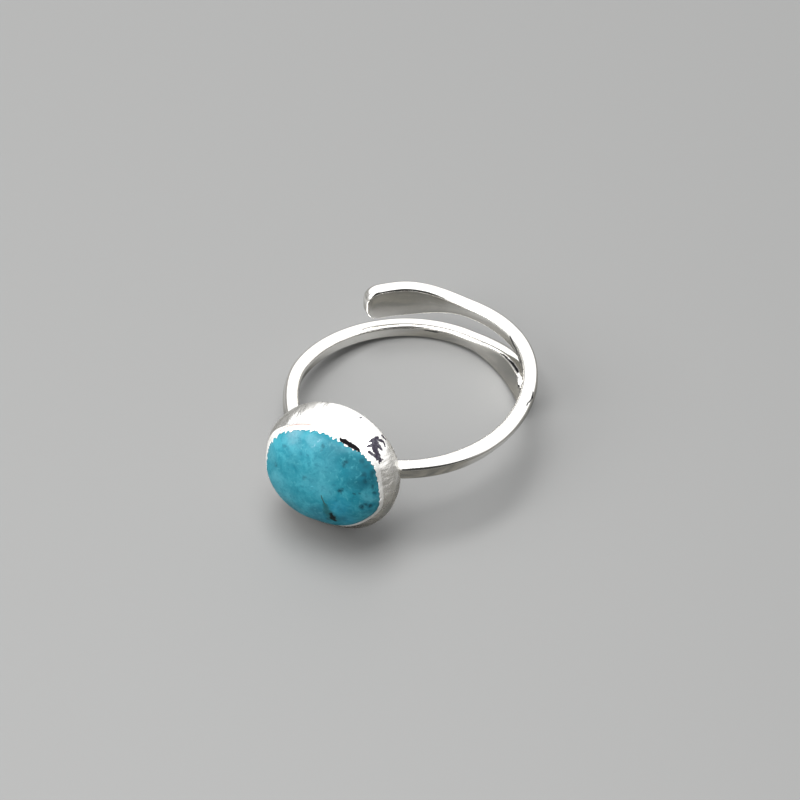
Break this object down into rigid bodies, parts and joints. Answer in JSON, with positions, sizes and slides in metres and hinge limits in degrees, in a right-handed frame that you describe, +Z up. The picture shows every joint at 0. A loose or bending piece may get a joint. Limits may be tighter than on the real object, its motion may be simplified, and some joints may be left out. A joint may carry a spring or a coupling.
{
  "type": "gemstone ring",
  "caption": "Adjustable wrap ring of polished square silver wire with flattened ends and an oval turquoise cabochon in a raised cup.",
  "frame": {"origin": "middle of the resting footprint, on the floor", "axes": "+Z up from the floor the ring lies on, +Y from the stone's face towards the far side of the hoop, +X to the right of someone looking at the stone"},
  "size_m": [0.02, 0.0244, 0.01],
  "materials": {
    "silver": "polished",
    "turquoise": "gloss"
  },
  "bodies": {
    "root": {"band_and_cup": "silver", "stone": "turquoise"}
  },
  "joints": []
}
